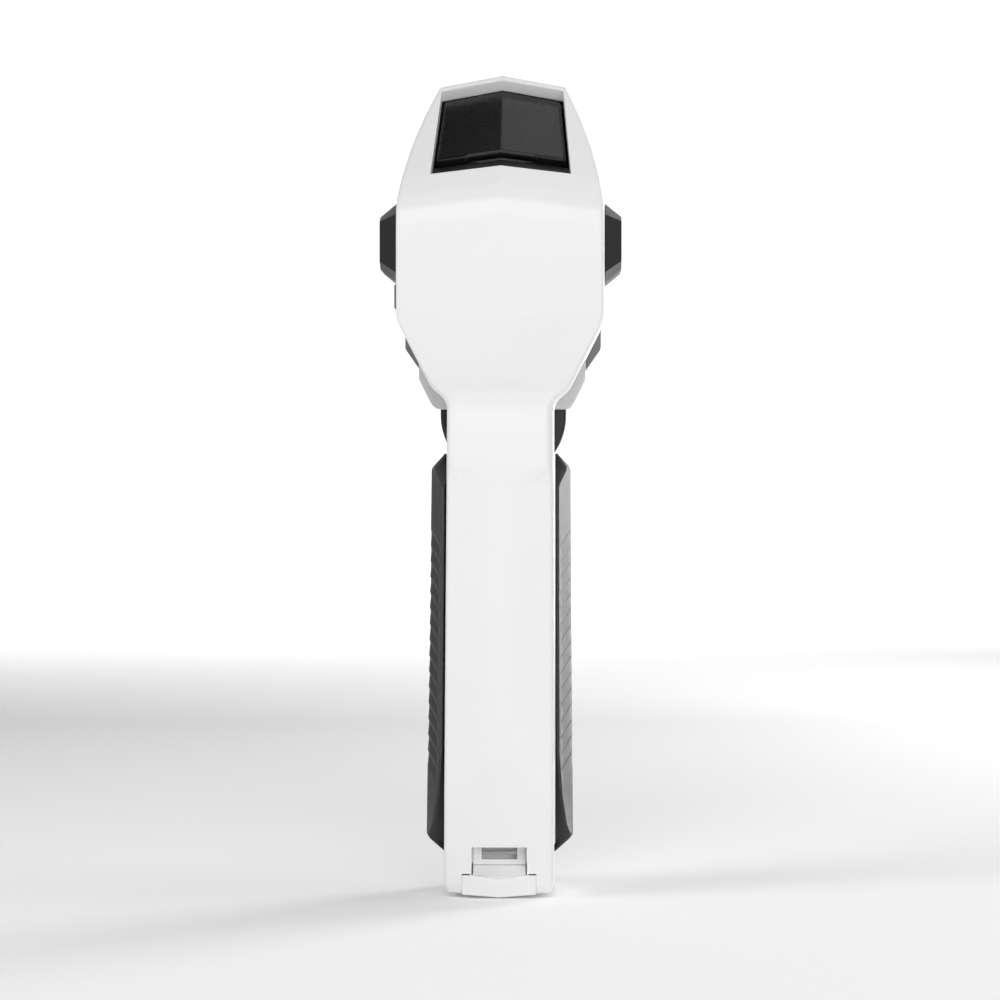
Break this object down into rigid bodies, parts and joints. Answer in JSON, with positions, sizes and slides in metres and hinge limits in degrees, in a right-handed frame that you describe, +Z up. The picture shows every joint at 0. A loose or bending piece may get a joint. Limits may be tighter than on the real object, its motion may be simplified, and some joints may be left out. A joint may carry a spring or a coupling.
{
  "type": "handheld 3d scanner",
  "caption": "Pistol-grip structured-light 3-D scanner with a hinged port hatch, trigger, fan, rubber grips and a base door.",
  "frame": {"origin": "centre of the base's footprint box, on the surface that the grip stands on", "axes": "+Z up along the head and grip, +Y forward out of the optics, +X to the operator's right"},
  "size_m": [0.0788, 0.1044, 0.27],
  "materials": {
    "white_abs": "satin",
    "grey_abs": "satin",
    "black_abs": "fine grain",
    "black_gloss": "gloss",
    "grip_rubber": "matte",
    "steel": "turned",
    "aluminium": "anodised",
    "circuit_board": "solder mask",
    "lens_glass": "coated",
    "led_diffuser": "frosted",
    "brass": "plated",
    "cell_wrap": "shrink film",
    "cable_sheath": "satin"
  },
  "bodies": {
    "housing": {"rear_shell": "white_abs", "handle_front_shell": "white_abs", "chin_shell": "white_abs", "front_frame": "grey_abs", "optics_bezel": "black_abs", "front_panel": "black_gloss", "optics_plate": "aluminium", "camera_lower_body": "black_abs", "camera_lower_lens": "lens_glass", "camera_upper_body": "black_abs", "camera_upper_lens": "lens_glass", "projector_body": "black_abs", "projector_lens": "lens_glass", "texture_camera_body": "black_abs", "texture_camera_lens": "lens_glass", "led_bar": "led_diffuser", "main_board": "circuit_board", "heat_sink": "aluminium", "fan_frame": "black_abs", "side_cowl_left": "black_abs", "side_cowl_right": "black_abs", "side_grille": "black_abs", "grip_pad_left": "grip_rubber", "grip_pad_right": "grip_rubber", "hatch_tray": "black_abs", "hatch_pin": "steel", "power_switch": "black_abs", "usb_socket": "steel", "dc_socket": "black_abs", "trigger_pin": "steel", "trigger_spring": "steel", "trigger_switch": "black_abs", "battery_cell": "cell_wrap", "battery_contact": "brass", "charge_board": "circuit_board", "handle_loom": "cable_sheath", "base_door_pin": "steel", "strap_plate": "white_abs", "strap_bar": "steel", "frame_screw_1": "steel", "frame_screw_2": "steel", "frame_screw_3": "steel", "frame_screw_4": "steel", "handle_screw_1": "steel", "handle_screw_2": "steel", "handle_screw_3": "steel", "board_screw_1": "steel", "board_screw_2": "steel", "board_screw_3": "steel", "board_screw_4": "steel"},
    "hatch": {"hatch_lid": "black_abs"},
    "power_button": {"power_button": "grey_abs"},
    "trigger": {"trigger": "black_abs"},
    "fan_rotor": {"fan_rotor": "black_abs"},
    "base_door": {"base_door": "white_abs"}
  },
  "joints": [
    {"name": "hatch_hinge", "type": "hinge", "parent": "housing", "child": "hatch", "pos_m": [0, 0.01626, 0.26016], "axis": [-1, 0, 0], "range_deg": [0, 90]},
    {"name": "power_press", "type": "slide", "parent": "housing", "child": "power_button", "axis": [0, 0.6552, -0.7555], "range_m": [0, 0.0007], "stiffness_N_per_m": 800, "springref_m": -0.001},
    {"name": "trigger_pull", "type": "hinge", "parent": "housing", "child": "trigger", "pos_m": [0, -0.0038, 0.146], "axis": [-1, 0, 0], "range_deg": [0, 8], "stiffness_Nm_per_rad": 0.4, "springref_deg": -5.73},
    {"name": "fan_spin", "type": "hinge", "parent": "housing", "child": "fan_rotor", "pos_m": [0, -0.0076, 0.2005], "axis": [0, 1, 0], "continuous": true},
    {"name": "door_hinge", "type": "hinge", "parent": "housing", "child": "base_door", "pos_m": [0, -0.0316, 0.003], "axis": [1, 0, 0], "range_deg": [0, 100]}
  ]
}
